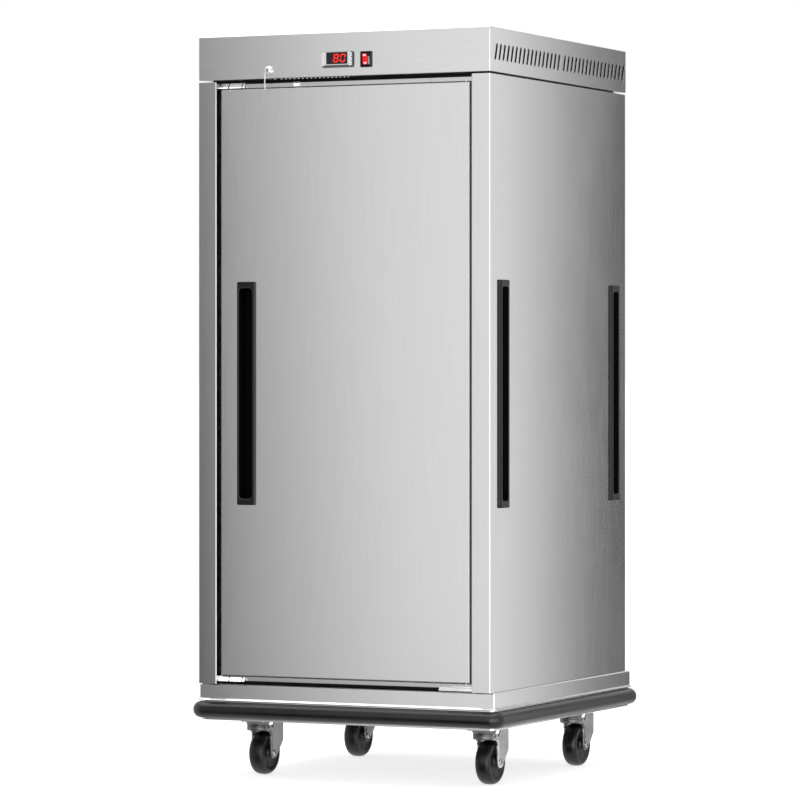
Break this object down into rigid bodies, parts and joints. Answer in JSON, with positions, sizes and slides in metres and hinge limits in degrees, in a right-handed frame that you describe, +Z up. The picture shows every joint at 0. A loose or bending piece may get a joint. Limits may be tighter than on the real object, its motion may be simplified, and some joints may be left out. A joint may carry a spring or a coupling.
{
  "type": "food holding cabinet",
  "caption": "Tall insulated heated cabinet with one hinged door, tray slides, a control header, grab handles, a wrap-round bumper and swivel castors.",
  "frame": {"origin": "on the floor under the middle of the whole cabinet", "axes": "+Z up, the door faces -Y, +X is the hinge side of the door"},
  "size_m": [0.783, 0.843, 1.705],
  "materials": {
    "stainless": "satin",
    "liner_steel": "satin",
    "black_trim": "matte",
    "insulation": "matte",
    "bumper_rubber": "satin",
    "gasket_rubber": "matte",
    "grip_plastic": "satin",
    "zinc": "satin",
    "wheel_rubber": "satin",
    "chrome": "polished",
    "bezel_plastic": "satin",
    "key_plastic": "satin",
    "window_plastic": "gloss",
    "rocker_plastic": "gloss",
    "cast_metal": "matte",
    "black_plastic": "matte"
  },
  "bodies": {
    "root": {"base_tray": "stainless", "chassis_frame": "zinc", "bumper": "bumper_rubber", "side_panel_left": "stainless", "side_panel_right": "stainless", "back_panel": "stainless", "header_cover": "stainless", "header_deck": "black_trim", "head_rail": "stainless", "sill_rail": "stainless", "hinge_bracket_top": "zinc", "hinge_bracket_bottom": "zinc", "inner_liner": "liner_steel", "insulation_jacket": "insulation", "side_handle_right_front": "grip_plastic", "side_handle_right_rear": "grip_plastic", "side_handle_left_front": "grip_plastic", "side_handle_left_rear": "grip_plastic", "tray_slides_left": "liner_steel", "tray_slides_right": "liner_steel", "water_pan": "liner_steel", "air_baffle": "liner_steel", "heater_element": "cast_metal", "fan_motor": "cast_metal", "controller_body": "bezel_plastic", "controller_window": "window_plastic", "switch_housing": "black_plastic", "lock_barrel": "chrome", "power_inlet": "black_plastic", "terminal_block": "black_plastic", "castor_plate_front_left": "zinc", "castor_plate_front_right": "zinc", "castor_plate_rear_left": "zinc", "castor_plate_rear_right": "zinc"},
    "door": {"door_skin": "stainless", "door_inner_panel": "liner_steel", "door_insulation": "insulation", "door_gasket": "gasket_rubber", "door_handle": "grip_plastic"},
    "fan_wheel": {"fan_impeller": "cast_metal"},
    "rocker": {"switch_rocker": "rocker_plastic"},
    "lock": {"lock_plug": "chrome"},
    "key_left_top_body": {"key_left_top": "key_plastic"},
    "key_left_middle_body": {"key_left_middle": "key_plastic"},
    "key_left_bottom_body": {"key_left_bottom": "key_plastic"},
    "key_right_top_body": {"key_right_top": "key_plastic"},
    "key_right_middle_body": {"key_right_middle": "key_plastic"},
    "key_right_bottom_body": {"key_right_bottom": "key_plastic"},
    "swivel_front_left": {"castor_fork_front_left": "zinc", "castor_axle_front_left": "zinc"},
    "wheel_front_left": {"castor_wheel_front_left": "wheel_rubber"},
    "swivel_front_right": {"castor_fork_front_right": "zinc", "castor_axle_front_right": "zinc"},
    "wheel_front_right": {"castor_wheel_front_right": "wheel_rubber"},
    "swivel_rear_left": {"castor_fork_rear_left": "zinc", "castor_axle_rear_left": "zinc"},
    "wheel_rear_left": {"castor_wheel_rear_left": "wheel_rubber"},
    "swivel_rear_right": {"castor_fork_rear_right": "zinc", "castor_axle_rear_right": "zinc"},
    "wheel_rear_right": {"castor_wheel_rear_right": "wheel_rubber"}
  },
  "joints": [
    {"name": "door_hinge", "type": "hinge", "parent": "root", "child": "door", "pos_m": [0.301, -0.396, 0.912], "axis": [0, 0, 1], "range_deg": [0, 110]},
    {"name": "fan_spin", "type": "hinge", "parent": "root", "child": "fan_wheel", "pos_m": [0, 0.02, 1.541], "axis": [0, 0, 1], "continuous": true},
    {"name": "rocker_tilt", "type": "hinge", "parent": "root", "child": "rocker", "pos_m": [0.0614, -0.4125, 1.641], "axis": [-1, 0, 0], "range_deg": [0, 23.6]},
    {"name": "lock_turn", "type": "hinge", "parent": "root", "child": "lock", "pos_m": [-0.1845, -0.415, 1.623], "axis": [0, 1, 0], "range_deg": [0, 90]},
    {"name": "key_left_top_press", "type": "slide", "parent": "root", "child": "key_left_top_body", "axis": [0, 1, 0], "range_m": [0, 0.0006], "stiffness_N_per_m": 400},
    {"name": "key_left_middle_press", "type": "slide", "parent": "root", "child": "key_left_middle_body", "axis": [0, 1, 0], "range_m": [0, 0.0006], "stiffness_N_per_m": 400},
    {"name": "key_left_bottom_press", "type": "slide", "parent": "root", "child": "key_left_bottom_body", "axis": [0, 1, 0], "range_m": [0, 0.0006], "stiffness_N_per_m": 400},
    {"name": "key_right_top_press", "type": "slide", "parent": "root", "child": "key_right_top_body", "axis": [0, 1, 0], "range_m": [0, 0.0006], "stiffness_N_per_m": 400},
    {"name": "key_right_middle_press", "type": "slide", "parent": "root", "child": "key_right_middle_body", "axis": [0, 1, 0], "range_m": [0, 0.0006], "stiffness_N_per_m": 400},
    {"name": "key_right_bottom_press", "type": "slide", "parent": "root", "child": "key_right_bottom_body", "axis": [0, 1, 0], "range_m": [0, 0.0006], "stiffness_N_per_m": 400},
    {"name": "swivel_front_left_turn", "type": "hinge", "parent": "root", "child": "swivel_front_left", "pos_m": [-0.2875, -0.2675, 0.112], "axis": [0, 0, 1], "continuous": true},
    {"name": "wheel_front_left_roll", "type": "hinge", "parent": "swivel_front_left", "child": "wheel_front_left", "pos_m": [-0.2875, -0.2345, 0.051], "axis": [1, 0, 0], "continuous": true},
    {"name": "swivel_front_right_turn", "type": "hinge", "parent": "root", "child": "swivel_front_right", "pos_m": [0.2875, -0.2675, 0.112], "axis": [0, 0, 1], "continuous": true},
    {"name": "wheel_front_right_roll", "type": "hinge", "parent": "swivel_front_right", "child": "wheel_front_right", "pos_m": [0.2875, -0.2345, 0.051], "axis": [1, 0, 0], "continuous": true},
    {"name": "swivel_rear_left_turn", "type": "hinge", "parent": "root", "child": "swivel_rear_left", "pos_m": [-0.2875, 0.2355, 0.112], "axis": [0, 0, 1], "continuous": true},
    {"name": "wheel_rear_left_roll", "type": "hinge", "parent": "swivel_rear_left", "child": "wheel_rear_left", "pos_m": [-0.2875, 0.2685, 0.051], "axis": [1, 0, 0], "continuous": true},
    {"name": "swivel_rear_right_turn", "type": "hinge", "parent": "root", "child": "swivel_rear_right", "pos_m": [0.2875, 0.2355, 0.112], "axis": [0, 0, 1], "continuous": true},
    {"name": "wheel_rear_right_roll", "type": "hinge", "parent": "swivel_rear_right", "child": "wheel_rear_right", "pos_m": [0.2875, 0.2685, 0.051], "axis": [1, 0, 0], "continuous": true}
  ]
}
